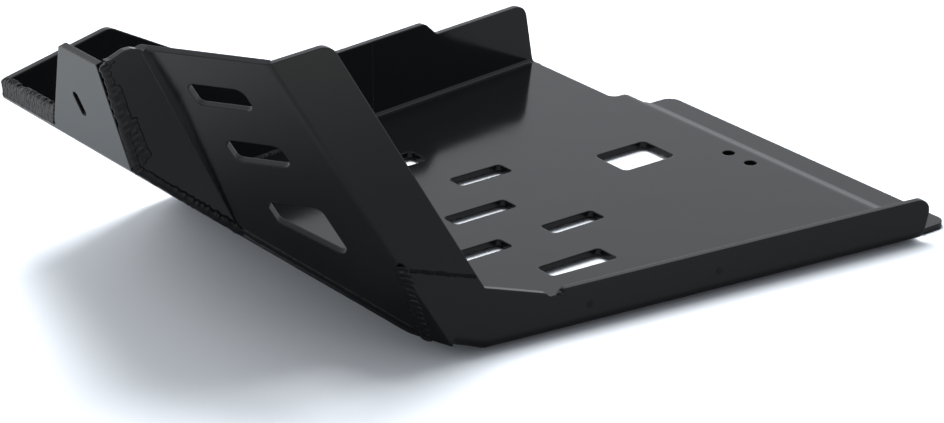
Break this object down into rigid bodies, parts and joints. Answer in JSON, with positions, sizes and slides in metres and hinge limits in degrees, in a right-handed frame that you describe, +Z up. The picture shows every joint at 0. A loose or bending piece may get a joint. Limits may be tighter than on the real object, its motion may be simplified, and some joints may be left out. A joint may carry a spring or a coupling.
{
  "type": "motorbike engine guard",
  "caption": "Folded and welded sheet guard that covers an engine's underside, with drain slots, a raised front ramp, a slotted side wing and low side walls.",
  "frame": {"origin": "underside of the flat floor, on the centreline, halfway between the first ramp fold and the rear step", "axes": "+X to the motorbike's rear, +Y to its right side, +Z up"},
  "size_m": [0.5253, 0.3728, 0.2019],
  "materials": {
    "coated_plate": "satin",
    "coated_weld": "satin"
  },
  "bodies": {
    "root": {"floor_pan": "coated_plate", "near_wing": "coated_plate", "far_front_plate": "coated_plate", "front_bracket": "coated_plate", "leaf_seam_bead": "coated_weld", "facet_seam_bead": "coated_weld", "wing_foot_bead": "coated_weld", "bracket_side_bead": "coated_weld", "nose_edge_bead": "coated_weld", "near_fold_bead": "coated_weld", "far_foot_bead": "coated_weld"}
  },
  "joints": []
}
